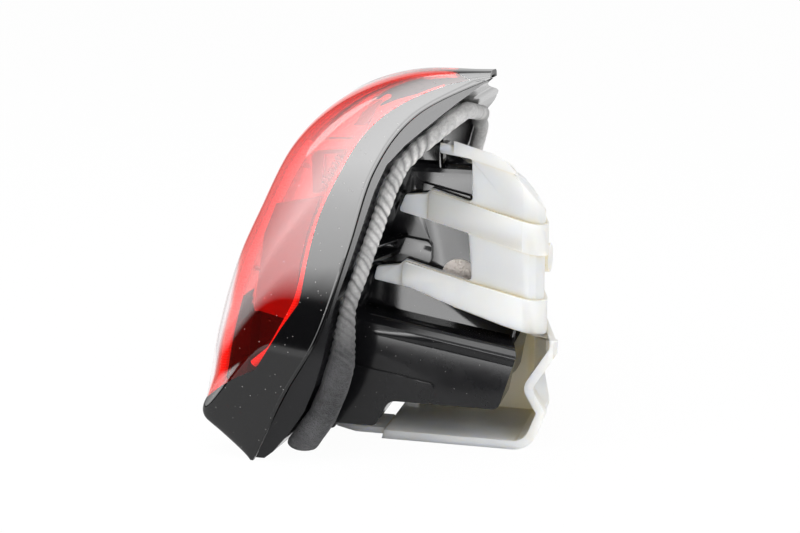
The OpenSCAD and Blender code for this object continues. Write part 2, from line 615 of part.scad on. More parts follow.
// Boards and what is on them
flank_y = near_y + bezel_depth + bezel_t + 5;
flank_pts = [[-63, 104], [-32.5, 100], [-26, 122], [-9, 166], [-33, 172]];
led_t = 1.2;
module flank_board() color(board_green) placed() cross_prism(flank_y, flank_y + board_t) polygon(flank_pts);
module flank_leds() color("gold") placed() for (k = [0 : 4])
    translate([-54 + 5 * k, flank_y - led_t / 2, 108 + led_pitch * k])
        cube([led_side, led_t, led_side], center = true);

cell = 22;
cells_wide = floor((lamp_w - 108) / cell);
cells_y = [for (k = [0 : cells_wide - 1]) (near_y + far_y) / 2 + 5 + cell * (k - (cells_wide - 1) / 2)];
cells_z = [for (k = [0 : 2]) 82 + cell * k];
cell_front = [-68, -61, -51.5];
board_y = [near_y + 50, far_y - 24];
board_z = [66, 160];
fin_pitch = 11;
module rear_board() color(board_green) placed() difference() {
    translate([board_x, board_y[0], board_z[0]])
        cube([board_t, board_y[1] - board_y[0], board_z[1] - board_z[0]]);
    for (p = post_at) translate([board_x - 1, p[0], p[1]]) rotate([0, 90, 0])
        cylinder(d = screw_clear, h = 5, $fn = 24);
}
module rear_leds() color("gold") placed() for (y = cells_y) for (z = cells_z)
    translate([board_x - led_t / 2, y, z]) cube([led_t, led_side, led_side], center = true);
module reflector_bank() color("silver") placed() for (m = [0 : 2]) difference() {
    translate([cell_front[m], cells_y[0] - cell / 2, cells_z[m] - cell / 2])
        cube([board_x - board_gap - cell_front[m], cell * len(cells_y), cell]);
    for (y = cells_y) translate([cell_front[m] - 0.01, y, cells_z[m]]) rotate([0, 90, 0])
        cylinder(d1 = cell - 1.5, d2 = 6, h = board_x - cell_front[m] + 1, $fn = 32);
}
module reflector_lens() color([0.95, 0.95, 0.95, 0.5]) placed() for (m = [0 : 2])
    translate([cell_front[m] - 2.3, cells_y[0] - 10.5, cells_z[m] - 10.5])
        cube([2, cell * len(cells_y) - 1, cell - 1]);
module heat_sink() color("gainsboro") placed() difference() {
    union() {
        translate([board_x + board_t + board_gap, board_y[0], board_z[0]])
            cube([sink_t, board_y[1] - board_y[0], board_z[1] - board_z[0]]);
        for (y = [board_y[0] + 24 : fin_pitch : board_y[1] - 24])
            translate([board_x + board_t + board_gap + sink_t - 0.1, y, board_z[0] + 18])
                cube([7, 1.6, 60]);
    }
    for (p = post_at) translate([board_x, p[0], p[1]]) rotate([0, 90, 0])
        cylinder(d = screw_clear, h = 12, $fn = 24);
}
module board_screws() color("dimgray") placed() for (p = post_at)
    translate([board_x - 0.2, p[0], p[1]]) rotate([0, 90, 0]) {
        translate([0, 0, -2.4]) cylinder(d = 7, h = 2.4, $fn = 24);
        cylinder(d = screw_pilot - 0.1, h = 14, $fn = 24);
    }

driver_y = -6;
can_d = 10;
driver_posts = [[10, 104], [56, 104], [10, 144], [56, 144]];
module driver_board() color(board_green) placed() translate([4, driver_y, 98]) cube([58, board_t, 52]);
module driver_parts() color([0.1, 0.1, 0.1]) placed() {
    for (k = [0 : 2]) translate([14 + 17 * k, driver_y - 3, 112]) cube([9, 3, 9]);
    for (k = [0 : 1]) translate([20 + 2.2 * can_d * k, driver_y, 138]) rotate([90, 0, 0])
        cylinder(d = can_d, h = 12, $fn = 32);
}
lead_r = 1.6;
lead_y = driver_y + board_t + lead_r + 0.1;
lead_route = [[6, lead_y, 130], [-6, 2, 131], [-16, 3, 129], [-26, 2.5, 124], [-32, 2.5, 121],
    [-36.6, 2.5, 120.6]];
lead_steps = [0 : 0.5 : len(lead_route) - 1];
module jumper_lead() color("black") placed()
    tube([for (k = lead_steps) along(lead_route, k)], [for (k = lead_steps) lead_r], 8, false, [0, 0, 1]);

header_x = flange_x(header_at[0] + header_size[1] / 2, header_at[1] + header_size[2] / 2) + 1;
pin_rows = [-2.5, 2.5];
pin_steps = [-8 : 4 : 8];
pin_side = 0.64;
module connector_header() color([0.12, 0.12, 0.13]) placed()
    translate([header_x, header_at[0], header_at[1]]) difference() {
        translate([0, -header_size[1] / 2, -header_size[2] / 2]) cube(header_size);
        translate([4, -header_size[1] / 2 + header_wall, -header_size[2] / 2 + header_wall])
            cube([header_size[0], header_size[1] - 2 * header_wall, header_size[2] - 2 * header_wall]);
        for (y = pin_rows) for (z = pin_steps) translate([-1, y, z])
            cube([10, pin_side + 0.06, pin_side + 0.06], center = true);
    }
module connector_pins() color("gold") placed() translate([header_x, header_at[0], header_at[1]])
    for (y = pin_rows) for (z = pin_steps) translate([3, y, z])
        cube([header_size[0], pin_side, pin_side], center = true);

module threaded_inserts() color("goldenrod") placed() for (p = insert_at)
    translate([flange_x(p[0], p[1]) + insert_collar, p[0], p[1]]) rotate([0, 90, 0]) difference() {
        cylinder(d = insert_d, h = insert_l, $fn = 48);
        translate([0, 0, -1]) cylinder(d = insert_bore, h = insert_l + 2, $fn = 48);
    }

lens_window();
lens_surround();
housing();
foam_gasket();
rear_cap();
vent_felt();
inner_bezel();
inner_panel();
edge_light_guide();
corner_light_guide();
inboard_light_guide();
guide_clips();
flank_board();
flank_leds();
rear_board();
rear_leds();
reflector_bank();
reflector_lens();
heat_sink();
board_screws();
driver_board();
driver_parts();
jumper_lead();
connector_header();
connector_pins();
threaded_inserts();
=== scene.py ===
import math
import bpy
import bmesh
import numpy as np
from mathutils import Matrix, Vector, noise


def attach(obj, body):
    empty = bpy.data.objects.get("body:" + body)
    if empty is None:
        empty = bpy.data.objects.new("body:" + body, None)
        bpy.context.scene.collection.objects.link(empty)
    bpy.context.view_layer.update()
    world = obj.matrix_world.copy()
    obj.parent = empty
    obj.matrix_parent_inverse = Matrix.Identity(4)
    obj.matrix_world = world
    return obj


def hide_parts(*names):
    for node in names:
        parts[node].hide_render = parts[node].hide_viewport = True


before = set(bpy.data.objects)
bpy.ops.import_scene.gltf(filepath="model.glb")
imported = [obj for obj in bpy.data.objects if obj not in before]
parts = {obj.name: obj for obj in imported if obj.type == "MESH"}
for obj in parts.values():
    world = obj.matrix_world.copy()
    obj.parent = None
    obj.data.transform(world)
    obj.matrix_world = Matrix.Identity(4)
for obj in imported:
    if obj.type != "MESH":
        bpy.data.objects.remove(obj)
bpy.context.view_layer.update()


# Lens. One acrylic moulding in two shots, a red window let into a black surround, about 2.5 mm thick.
# Its skin runs from the flank rim round the outboard corner, over the rear face and down the inboard wall.
mm = 0.001
lamp_width = 200.0
near_y, far_y = -lamp_width / 2, lamp_width / 2
lens_thickness = 2.5
rim_lean, face_lean = 0.1, 0.12
turn_power = 0.65
turn_rows, turn_widest_row = 12, 26
turn_at_foot, turn_widest, turn_at_tip, inboard_turn = 5.0, 42.0, 4.0, 12.0
tip_width, band_share = 12.0, 0.32
flank_belly, inboard_belly, face_crown, crown_width, full_reach = -0.3, 1.2, 5.0, 80.0, 60.0
foot = (-80.8, 0.0)
corner_in, corner_tip, corner_out = (-108.0, 22.0), (-114.5, 27.5), (-110.8, 34.5)
face_side = [corner_out, (-107, 73), (-97, 112), (-80, 150), (-57, 193), (-25, 222), (18, 239.5), (66, 243.5)]
rim_side = [(-78, 0), (-57, 44), (-35, 83), (-17, 136), (-1, 184), (24, 217), (66, 239.5)]
chin_row, face_row, slope_row, window_top_row, top_row = 4, 8, 18, 34, 36
band_cols, turn_cols, face_cols, inboard_cols, last_col = 4, 12, 20, 24, 27
sag_by_col = ((3, 4, 5, 6, 8, turn_cols), (0, 0.2, 2, 1.5, 0.7, 0))


def between(a, b, t):
    return a + (b - a) * t


def eased(t):
    t = min(max(t, 0.0), 1.0)
    return t * t * (3 - 2 * t)


def along(points, t):
    n = len(points) - 1
    k = min(int(math.floor(t)), n - 1)
    a, b, c, d = (np.array(points[min(max(m, 0), n)], float) for m in (k - 1, k, k + 1, k + 2))
    u = t - k
    return 0.5 * (2 * b + (c - a) * u + (2 * a - 5 * b + 4 * c - d) * u * u + (3 * b - a - 3 * c + d) * u ** 3)


def face_line(i):
    if i <= chin_row:
        return between(np.array(foot), np.array(corner_in), i / chin_row)
    if i <= face_row:
        t = (i - chin_row) / (face_row - chin_row)
        a, b, c = (np.array(p) for p in (corner_in, corner_tip, corner_out))
        return between(between(a, b, t), between(b, c, t), t)
    return along(face_side, (i - face_row) / (top_row - face_row) * (len(face_side) - 1))


def rim_line(i):
    if i <= face_row:
        return along(rim_side, i / face_row * 3)
    return along(rim_side, 3 + (i - face_row) / (top_row - face_row) * (len(rim_side) - 4))


def face_outward(i):
    d = face_line(min(i + 0.5, top_row)) - face_line(max(i - 0.5, 0))
    d = d / np.linalg.norm(d)
    return np.array([-d[1], d[0]])


def inboard_y(i):
    return far_y - (far_y - near_y - tip_width) * eased((i - slope_row) / (top_row - slope_row))


def turn_radius(i):
    if i < turn_widest_row:
        return between(turn_at_foot, turn_widest, eased((i - chin_row) / turn_rows))
    return between(turn_widest, turn_at_tip, eased((i - turn_widest_row) / (top_row - turn_widest_row)))


# The depth of the lamp, from the front of the lens to a nominal back, is centred on the origin.
nominal_back = 99
shift_x = -(min(face_line(i)[0] for i in range(top_row + 1)) + nominal_back) / 2
row_cache = {}


def lens_row(i):
    if i not in row_cache:
        width = inboard_y(i) - near_y
        edge, crest = rim_line(i), face_line(i)
        row_cache[i] = (width, edge, crest, face_outward(i), min(turn_radius(i), 0.5 * width),
                        min(inboard_turn, 0.3 * width, 0.45 * float(np.linalg.norm(crest - edge))),
                        between(rim_lean, face_lean, eased(i / face_row)))
    return row_cache[i]


def lens_skin(row, j, depth):
    """A point of the lens skin in metres, or of a surface that lies at a depth in mm below it."""
    sag = float(np.interp(j, *sag_by_col))
    if row <= face_row:
        i = row - sag * eased((row - chin_row) / (face_row - chin_row))
    else:
        i = row - sag * (1 - eased((row - face_row) / (slope_row - face_row)))
    width, edge, crest0, outward, r, inner_r, lean = lens_row(i)
    b = inboard_y(i) - depth
    ra, rb = max(r - depth, 0.6), max(inner_r - depth, 0.5)
    yc = near_y + r
    swing = 0.0 if j <= band_cols else math.radians(90 * (j - band_cols) / (turn_cols - band_cols))
    swing_b = math.radians(90 * (j - face_cols) / (inboard_cols - face_cols))
    across = (j - turn_cols) / (face_cols - turn_cols)
    if j <= turn_cols:
        y = yc - ra * max(math.cos(swing), 0) ** turn_power
    elif j <= face_cols:
        y = between(yc, b - rb, across)
    elif j <= inboard_cols:
        y = b - rb * (1 - math.sin(swing_b))
    else:
        y = b
    low = edge + np.array([rim_lean * (y - near_y), 0])
    start = between(near_y, yc, min(max(i - chin_row + 1, 0), 1))
    high = crest0 - depth * outward + np.array([lean * max(0, y - start), 0])
    reach = float(np.linalg.norm(high - low))
    fullness = eased(reach / full_reach)
    if j <= band_cols:
        g = band_share * j / band_cols
    elif j <= turn_cols:
        g = band_share + (1 - band_share) * math.sin(swing) ** turn_power
    elif j <= face_cols:
        crown = face_crown * fullness * min(1, (b - rb - yc) / crown_width)
        g = 1 + crown * (1 - math.cos(2 * math.pi * across)) / 2 / reach
    elif j <= inboard_cols:
        g = 1 - rb / reach * (1 - math.cos(swing_b))
    else:
        g = (1 - rb / reach) * (last_col - j) / (last_col - inboard_cols)
    belly = fullness * math.sin(math.pi * min(g, 1))
    belly *= flank_belly if j <= turn_cols else inboard_belly if j >= inboard_cols else 0
    p = low + g * (high - low)
    return ((p[0] + shift_x) * mm, (y + belly) * mm, p[1] * mm)


def steps(low, high, each):
    count = int(round((high - low) * each))
    return [low + (high - low) * k / count for k in range(count + 1)]


def finish_mesh(name, vertices, faces, sharp=32):
    mesh = bpy.data.meshes.new(name)
    mesh.from_pydata([tuple(v) for v in vertices], [], faces)
    mesh.update()
    mesh.polygons.foreach_set("use_smooth", [True] * len(mesh.polygons))
    mesh.set_sharp_from_angle(angle=math.radians(sharp))
    piece = bpy.data.objects.new(name, mesh)
    bpy.context.scene.collection.objects.link(piece)
    return piece


def in_hole(low, high, first, last):
    return low >= first - 1e-6 and high <= last + 1e-6


def lens_sheet(name, rows, cols, depths, hole=None):
    """A closed wall between two depths of the lens skin, less the rows and columns of a hole. Its edges are sharp."""
    points = [lens_skin(i, j, depth) for depth in depths for i in rows for j in cols]
    wide = len(cols)
    layer = len(rows) * wide
    kept = [(a, b) for a in range(len(rows) - 1) for b in range(wide - 1)
            if not (hole and in_hole(rows[a], rows[a + 1], *hole[:2]) and in_hole(cols[b], cols[b + 1], *hole[2:]))]
    faces, borders = [], {}
    for a, b in kept:
        q = (a * wide + b, a * wide + b + 1, (a + 1) * wide + b + 1, (a + 1) * wide + b)
        faces.append(q[::-1])
        faces.append(tuple(v + layer for v in q))
        for k in range(4):
            e = (q[k], q[(k + 1) % 4])
            if (e[1], e[0]) in borders:
                del borders[(e[1], e[0])]
            else:
                borders[e] = True
    for a, b in borders:
        faces.append((a, b, b + layer, a + layer))
    used = sorted({v for f in faces for v in f})
    place = {v: k for k, v in enumerate(used)}
    return finish_mesh(name, [points[v] for v in used], [tuple(place[v] for v in f) for f in faces])


window_shell = lens_sheet("window_shell", steps(face_row, window_top_row, 4), steps(band_cols, face_cols - 1, 4),
                          (0, lens_thickness))
surround_shell = lens_sheet("surround_shell", steps(0, top_row, 4), steps(0, last_col, 4), (0, lens_thickness),
                            (face_row, window_top_row, band_cols, face_cols - 1))


def effect_group(name, inputs, outputs):
    """An empty node group with named sockets. Each input is (name, default)."""
    group = bpy.data.node_groups.new(name, "ShaderNodeTree")
    for label, default in inputs:
        socket = group.interface.new_socket(name=label, in_out="INPUT", socket_type="NodeSocketFloat")
        socket.default_value = default
    for label in outputs:
        group.interface.new_socket(name=label, in_out="OUTPUT", socket_type="NodeSocketFloat")
    return group, group.nodes.new("NodeGroupInput"), group.nodes.new("NodeGroupOutput")


def node(tree, kind, **values):
    made = tree.nodes.new(kind)
    for key, value in values.items():
        if hasattr(made, key):
            setattr(made, key, value)
        else:
            made.inputs[key.replace("_", " ")].default_value = value
    return made


def calc(tree, how, a, b):
    made = tree.nodes.new("ShaderNodeMath")
    made.operation = how
    for k, v in enumerate((a, b)):
        if isinstance(v, (int, float)):
            made.inputs[k].default_value = v
        else:
            tree.links.new(v, made.inputs[k])
    return made.outputs[0]


def ramp(tree, source, low, high, to_low=0.0, to_high=1.0):
    made = tree.nodes.new("ShaderNodeMapRange")
    made.inputs["From Min"].default_value = low
    made.inputs["From Max"].default_value = high
    made.inputs["To Min"].default_value = to_low
    made.inputs["To Max"].default_value = to_high
    tree.links.new(source, made.inputs["Value"])
    return made.outputs["Result"]


# Dust that lies on mouldings: small pale specks, scattered thinly and thicker on faces that look up.
kept_share, smallest_speck, speck_spread = 0.22, 0.05, 0.16
dust, dust_in, dust_out = effect_group("settled_dust", [("Speck Size", 420.0), ("Amount", 0.5)], ["Mask"])
dust_place = node(dust, "ShaderNodeTexCoord")
dust_cells = node(dust, "ShaderNodeTexVoronoi")
dust.links.new(dust_place.outputs["Object"], dust_cells.inputs["Vector"])
dust.links.new(dust_in.outputs["Speck Size"], dust_cells.inputs["Scale"])
dust_colour = node(dust, "ShaderNodeSeparateColor")
dust.links.new(dust_cells.outputs["Color"], dust_colour.inputs[0])
dust_limit = calc(dust, "MULTIPLY", dust_in.outputs["Amount"], kept_share)
dust_kept = calc(dust, "LESS_THAN", dust_colour.outputs[0], dust_limit)
dust_grain = calc(dust, "MULTIPLY", dust_colour.outputs[1], speck_spread)
dust_spot = calc(dust, "LESS_THAN", dust_cells.outputs["Distance"], calc(dust, "ADD", dust_grain, smallest_speck))
dust_facing = node(dust, "ShaderNodeNewGeometry")
dust_up = node(dust, "ShaderNodeSeparateXYZ")
dust.links.new(dust_facing.outputs["Normal"], dust_up.inputs[0])
dust_share = ramp(dust, dust_up.outputs[2], -0.4, 0.8, 0.45, 1.0)
dust_specks = calc(dust, "MULTIPLY", dust_kept, dust_spot)
dust.links.new(calc(dust, "MULTIPLY", dust_specks, dust_share), dust_out.inputs["Mask"])

# Slow waves and a fine grain that a moulded face keeps from its tool.
flow, flow_in, flow_out = effect_group(
    "mould_flow", [("Wave Scale", 30.0), ("Grain Scale", 900.0), ("Grain Share", 0.3)], ["Height", "Patches"])
flow_place = node(flow, "ShaderNodeTexCoord")
flow_wave = node(flow, "ShaderNodeTexNoise", Detail=2.0)
flow_grain = node(flow, "ShaderNodeTexNoise", Detail=3.0)
for texture, label in ((flow_wave, "Wave Scale"), (flow_grain, "Grain Scale")):
    flow.links.new(flow_place.outputs["Object"], texture.inputs["Vector"])
    flow.links.new(flow_in.outputs[label], texture.inputs["Scale"])
flow_fine = calc(flow, "MULTIPLY", flow_grain.outputs["Fac"], flow_in.outputs["Grain Share"])
flow.links.new(calc(flow, "ADD", flow_wave.outputs["Fac"], flow_fine), flow_out.inputs["Height"])
flow.links.new(ramp(flow, flow_wave.outputs["Fac"], 0.35, 0.65), flow_out.inputs["Patches"])


def new_finish(name):
    finish = bpy.data.materials.new(name)
    finish.use_nodes = True
    tree = finish.node_tree
    return finish, tree, tree.nodes["Principled BSDF"]


def put_group(tree, group, **values):
    made = tree.nodes.new("ShaderNodeGroup")
    made.node_tree = group
    for key, value in values.items():
        made.inputs[key.replace("_", " ")].default_value = value
    return made


def mix_colours(tree, mask, first, second):
    made = tree.nodes.new("ShaderNodeMix")
    made.data_type = "RGBA"
    for slot, value in ((6, first), (7, second)):
        if isinstance(value, tuple):
            made.inputs[slot].default_value = (*value, 1)
        else:
            tree.links.new(value, made.inputs[slot])
    tree.links.new(mask, made.inputs[0])
    return made.outputs[2]


def raise_bumps(tree, shader, height, strength, distance):
    bump = tree.nodes.new("ShaderNodeBump")
    bump.inputs["Strength"].default_value = strength
    bump.inputs["Distance"].default_value = distance
    tree.links.new(height, bump.inputs["Height"])
    tree.links.new(bump.outputs["Normal"], shader.inputs["Normal"])


def dress(piece, *finishes):
    piece.data.materials.clear()
    for finish in finishes:
        piece.data.materials.append(finish)


red_acrylic, tree, shader = new_finish("red_acrylic")
shader.inputs["Transmission Weight"].default_value = 1.0
shader.inputs["IOR"].default_value = 1.49
flow_here = put_group(tree, flow, Wave_Scale=14.0, Grain_Scale=700.0, Grain_Share=0.02)
specks = put_group(tree, dust, Speck_Size=620.0, Amount=0.15)
red_tint = mix_colours(tree, flow_here.outputs["Patches"], (0.95, 0.045, 0.03), (0.98, 0.06, 0.045))
corner_share = node(tree, "ShaderNodeAttribute", attribute_name="clear_corner")
tint = mix_colours(tree, corner_share.outputs["Fac"], red_tint, (0.99, 0.93, 0.94))
tree.links.new(mix_colours(tree, specks.outputs["Mask"], tint, (0.95, 0.6, 0.6)), shader.inputs["Base Color"])
tree.links.new(ramp(tree, specks.outputs["Mask"], 0, 1, 0.015, 0.5), shader.inputs["Roughness"])
raise_bumps(tree, shader, flow_here.outputs["Height"], 0.04, 0.0005)

piano_black, tree, shader = new_finish("piano_black")
flow_here = put_group(tree, flow, Wave_Scale=16.0, Grain_Scale=600.0, Grain_Share=0.02)
specks = put_group(tree, dust, Speck_Size=620.0, Amount=0.6)
dusty_black = mix_colours(tree, specks.outputs["Mask"], (0.0035, 0.0035, 0.004), (0.32, 0.31, 0.3))
tree.links.new(dusty_black, shader.inputs["Base Color"])
tree.links.new(ramp(tree, specks.outputs["Mask"], 0, 1, 0.05, 0.8), shader.inputs["Roughness"])
raise_bumps(tree, shader, flow_here.outputs["Height"], 0.04, 0.0005)

dress(window_shell, red_acrylic)
dress(surround_shell, piano_black)

# The red fades out to clear along the low end of the outboard corner, [row, first clear column].
clear_from = [(8.5, 10.4), (9.75, 9.3), (11.75, 8.7), (13.5, 8.3), (15.75, 8.9), (17, 9.7), (18.5, 10.6), (20, 12)]
clear_rows, clear_cols = zip(*clear_from)
fade_width, (last_clear_col, col_fade), (last_clear_row, row_fade) = 0.7, (12.5, 1.5), (17, 2)


def clear_at(i, j):
    started = eased((j - float(np.interp(i, clear_rows, clear_cols))) / fade_width + 0.5)
    return started * (1 - eased((j - last_clear_col) / col_fade)) * (1 - eased((i - last_clear_row) / row_fade))


clear_corner = window_shell.data.attributes.new("clear_corner", "FLOAT", "POINT")
clear_corner.data.foreach_set("value", [clear_at(i, j) for _ in (0, lens_thickness)
                                        for i in steps(face_row, window_top_row, 4)
                                        for j in steps(band_cols, face_cols - 1, 4)])

# A lip runs along the flank rim, proud of the skin, with both its edges eased.
lip_width, lip_rise, lip_edge, lip_reach = 4.0, 0.55, 0.35, 16
lip_section = [(0.0, -0.5), (0.0, lip_rise - lip_edge)]
lip_section += [(lip_edge * (1 - math.cos(t)), lip_rise - lip_edge * (1 - math.sin(t)))
                for t in (0.5, 1.0, math.pi / 2)]
lip_section += [(lip_width - lip_edge * (1 - math.sin(t)), lip_rise - lip_edge * (1 - math.cos(t)))
                for t in (0.01, 0.5, 1.0, math.pi / 2)]
lip_section += [(lip_width, -0.3)]


def rim_point(i, inward, rise):
    reach = float(np.linalg.norm(lens_row(i)[2] - lens_row(i)[1]))
    return lens_skin(i, band_cols * inward * min(1, reach / lip_reach) / (band_share * reach), -rise)


lip_rows = steps(0.02, top_row - 0.02, 6)
verts = [rim_point(i, w, h) for i in lip_rows for w, h in lip_section]
ring = len(lip_section)
faces = [(k * ring + m, (k + 1) * ring + m, (k + 1) * ring + (m + 1) % ring, k * ring + (m + 1) % ring)
         for k in range(len(lip_rows) - 1) for m in range(ring)]
faces += [tuple(range(ring)), tuple((len(lip_rows) - 1) * ring + m for m in reversed(range(ring)))]
rim_lip = finish_mesh("rim_lip", verts, faces)
dress(rim_lip, piano_black)
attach(rim_lip, "root")
for piece, name in ((window_shell, "lens_window"), (surround_shell, "lens_surround")):
    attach(piece, "root")
    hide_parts(name)


# Light guides. Round acrylic rods that run up behind the window on both edges of the flank and on the rear face.
# They are polished. The notches along a real one's back are in the material alone, and so is a faint painted glow.
rod, tree, shader = new_finish("notched_rod")
shader.inputs["IOR"].default_value = 1.49
shader.inputs["Coat Weight"].default_value = 0.8
# A faint emission in the rod's colours is painted glow.
shader.inputs["Emission Strength"].default_value = 0.35
rod_place = node(tree, "ShaderNodeTexCoord")
rod_wave = node(tree, "ShaderNodeTexWave", Scale=190.0, Distortion=0.4)
rod_wave.bands_direction = "Z"
tree.links.new(rod_place.outputs["Object"], rod_wave.inputs["Vector"])
rod_colour_and_glow = mix_colours(tree, rod_wave.outputs["Fac"], (0.95, 0.35, 0.3), (1.0, 0.72, 0.66))
tree.links.new(rod_colour_and_glow, shader.inputs["Base Color"])
tree.links.new(rod_colour_and_glow, shader.inputs["Emission Color"])
tree.links.new(ramp(tree, rod_wave.outputs["Fac"], 0, 1, 0.12, 0.35), shader.inputs["Roughness"])
raise_bumps(tree, shader, rod_wave.outputs["Fac"], 0.6, 0.0005)
guide_radius, guide_gap = 2.5, 3
guide_depth = lens_thickness + guide_radius + guide_gap
rod_radius, rod_end = 2.45, 0.86


def swept_rod(name, line, radius, sides=20):
    """A round rod along a list of points, with flat ends whose edges are eased."""
    line = [np.array(p, float) for p in line]
    verts, faces = [], []
    count = len(line)
    side = np.array([0.0, 1.0, 0.0])
    for k, p in enumerate(line):
        ahead = line[min(k + 1, count - 1)] - line[max(k - 1, 0)]
        ahead /= np.linalg.norm(ahead)
        u = np.cross(ahead, side)
        u /= np.linalg.norm(u)
        v = np.cross(ahead, u)
        r = radius * (rod_end if k in (0, count - 1) else 1.0)
        angles = [2 * math.pi * m / sides for m in range(sides)]
        verts += [p + r * (math.cos(t) * u + math.sin(t) * v) for t in angles]
    for k in range(count - 1):
        for m in range(sides):
            n = (m + 1) % sides
            faces.append((k * sides + m, (k + 1) * sides + m, (k + 1) * sides + n, k * sides + n))
    faces.append(tuple(range(sides)))
    faces.append(tuple((count - 1) * sides + m for m in reversed(range(sides))))
    return finish_mesh(name, verts, faces, sharp=50)


edge_path = ((32, 4.14), (26, 4.14), (20, 4.14), (14, 4.14), (11, 4.16), (9.5, 4.3), (9.1, 4.8), (9, 6.2))
corner_path = ((24.5, 8.8), (20, 9.2), (14, 9.2), (10, 9.5), (8.5, 10))
inboard_path = ((29, 18.6), (22, 18.6), (16, 18.6), (10, 18.6))
for name, path, depth in (("edge_rod", edge_path, guide_depth), ("corner_rod", corner_path, guide_depth - 2),
                          ("inboard_rod", inboard_path, guide_depth)):
    last = len(path) - 1
    stations = [0, 0.02] + steps(0.1, last - 0.1, 10) + [last - 0.02, last]
    piece = swept_rod(name, [lens_skin(*along(path, t), depth) for t in stations], rod_radius * mm)
    dress(piece, rod)
    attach(piece, "root")
    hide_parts(name.replace("rod", "light_guide"))


# Inner bezel and panel. A moulded bezel fills the lens behind the guides, with a smooth panel on the flank and a window
# in front of the reflectors. Here it is pale with painted light, so that it shows through the red, with painted shade
# on its darker bars and on its dark low well.
def moulded_finish(name, flow_scales, dark, light, gloss, bumps=None):
    """A finish of slow patches between two colours. Its roughness follows the grain, and so do its bumps if given."""
    finish, tree, shader = new_finish(name)
    wave, grain, grain_share = flow_scales
    flow_here = put_group(tree, flow, Wave_Scale=wave, Grain_Scale=grain, Grain_Share=grain_share)
    tree.links.new(mix_colours(tree, flow_here.outputs["Patches"], dark, light), shader.inputs["Base Color"])
    tree.links.new(ramp(tree, flow_here.outputs["Height"], *gloss), shader.inputs["Roughness"])
    if bumps:
        raise_bumps(tree, shader, flow_here.outputs["Height"], *bumps)
    return finish, shader


# One moulding in three finishes: painted light on the pale bezel, painted shade on its bars and in its low well.
painted_lit_bezel, shader = moulded_finish("painted_lit_bezel", (26.0, 900.0, 0.2), (0.62, 0.6, 0.6), (0.72, 0.7, 0.7),
                                      (0.4, 0.9, 0.3, 0.42), (0.2, 0.0003))
unlit_well, shader = moulded_finish("unlit_well", (60.0, 1500.0, 0.3), (0.006, 0.006, 0.006), (0.014, 0.013, 0.013),
                                    (0.4, 0.9, 0.4, 0.6))
shader.inputs["Specular IOR Level"].default_value = 0.2
shaded_bars, shader = moulded_finish("shaded_bars", (30.0, 900.0, 0.2), (0.26, 0.24, 0.24), (0.3, 0.28, 0.28),
                                     (0.4, 0.9, 0.35, 0.5))
dress(parts["inner_bezel"], painted_lit_bezel, shaded_bars, unlit_well)
bar_depth, same_plane, painted_shade_below = 11.5, 0.00005, 0.09
bar_face = (near_y + bar_depth) * mm
# Faces in the bars' plane take the bars' painted shade, and faces low down the low well's painted shade.
for face in parts["inner_bezel"].data.polygons:
    if abs(face.center.y - bar_face) < same_plane:
        face.material_index = 1
    elif face.center.z < painted_shade_below:
        face.material_index = 2
# The guide clips take the bezel's painted light.
dress(parts["guide_clips"], painted_lit_bezel)

# Two dark sheets close behind the guide darken the low corner with painted shade,
# as a guess at a raised part of the bezel there.
sheet_gap, sheet_back = 0.9, 13.9
for name, rows_here, cols_here in (("low_corner_shade_flank", (8.4, 12.75), (7, 9.5)),
                                   ("low_corner_shade_face", (8.4, 14.5), (9.5, 15))):
    piece = lens_sheet(name, steps(*rows_here, 4), steps(*cols_here, 4), (guide_depth + sheet_gap, sheet_back))
    dress(piece, unlit_well)
    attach(piece, "root")

panel_red, shader = moulded_finish("panel_red", (30.0, 1200.0, 0.2), (0.35, 0.29, 0.29), (0.37, 0.31, 0.31),
                                   (0.4, 0.9, 0.45, 0.6))
shader.inputs["Specular IOR Level"].default_value = 0.2
dress(parts["inner_panel"], panel_red)


# Boards and metal. Glass epoxy boards with solder mask carry the LEDs and the driver, and screws clamp the rear one
# with its sink. They are sealed inside with the reflectors, and only glimpsed through the lens.
solder_mask, shader = moulded_finish("solder_mask", (120.0, 1500.0, 0.4), (0.02, 0.11, 0.05), (0.03, 0.16, 0.07),
                                     (0.4, 1.0, 0.25, 0.45), (0.25, 0.0001))
led_face, shader = moulded_finish("led_face", (400.0, 3000.0, 0.4), (0.8, 0.66, 0.16), (0.85, 0.76, 0.3),
                                  (0.4, 1.0, 0.3, 0.5))
chip_black, shader = moulded_finish("chip_black", (200.0, 4000.0, 1.0), (0.02, 0.02, 0.021), (0.032, 0.032, 0.033),
                                    (0.5, 1.5, 0.4, 0.6), (0.2, 0.0001))
for name in ("flank_board", "rear_board", "driver_board"):
    dress(parts[name], solder_mask)
for name in ("flank_leds", "rear_leds"):
    dress(parts[name], led_face)
dress(parts["driver_parts"], chip_black)


def metal_finish(name, dark, light, rough_low, rough_high, grain):
    finish, shader = moulded_finish(name, (80.0, grain, 0.6), dark, light,
                                    (0.4, 1.2, rough_low, rough_high), (0.15, 0.0001))
    shader.inputs["Metallic"].default_value = 1.0
    return finish


dress(parts["reflector_bank"], metal_finish("metallised", (0.8, 0.8, 0.82), (0.88, 0.88, 0.9), 0.08, 0.16, 600.0))
dress(parts["heat_sink"], metal_finish("satin_aluminium", (0.7, 0.71, 0.72), (0.8, 0.81, 0.82), 0.3, 0.45, 1600.0))
dress(parts["board_screws"], metal_finish("zinc_plate", (0.5, 0.5, 0.51), (0.62, 0.62, 0.62), 0.25, 0.4, 1400.0))
turned_brass = metal_finish("turned_brass", (0.66, 0.48, 0.2), (0.78, 0.6, 0.28), 0.2, 0.35, 1800.0)
dress(parts["threaded_inserts"], turned_brass)
dress(parts["connector_pins"], turned_brass)

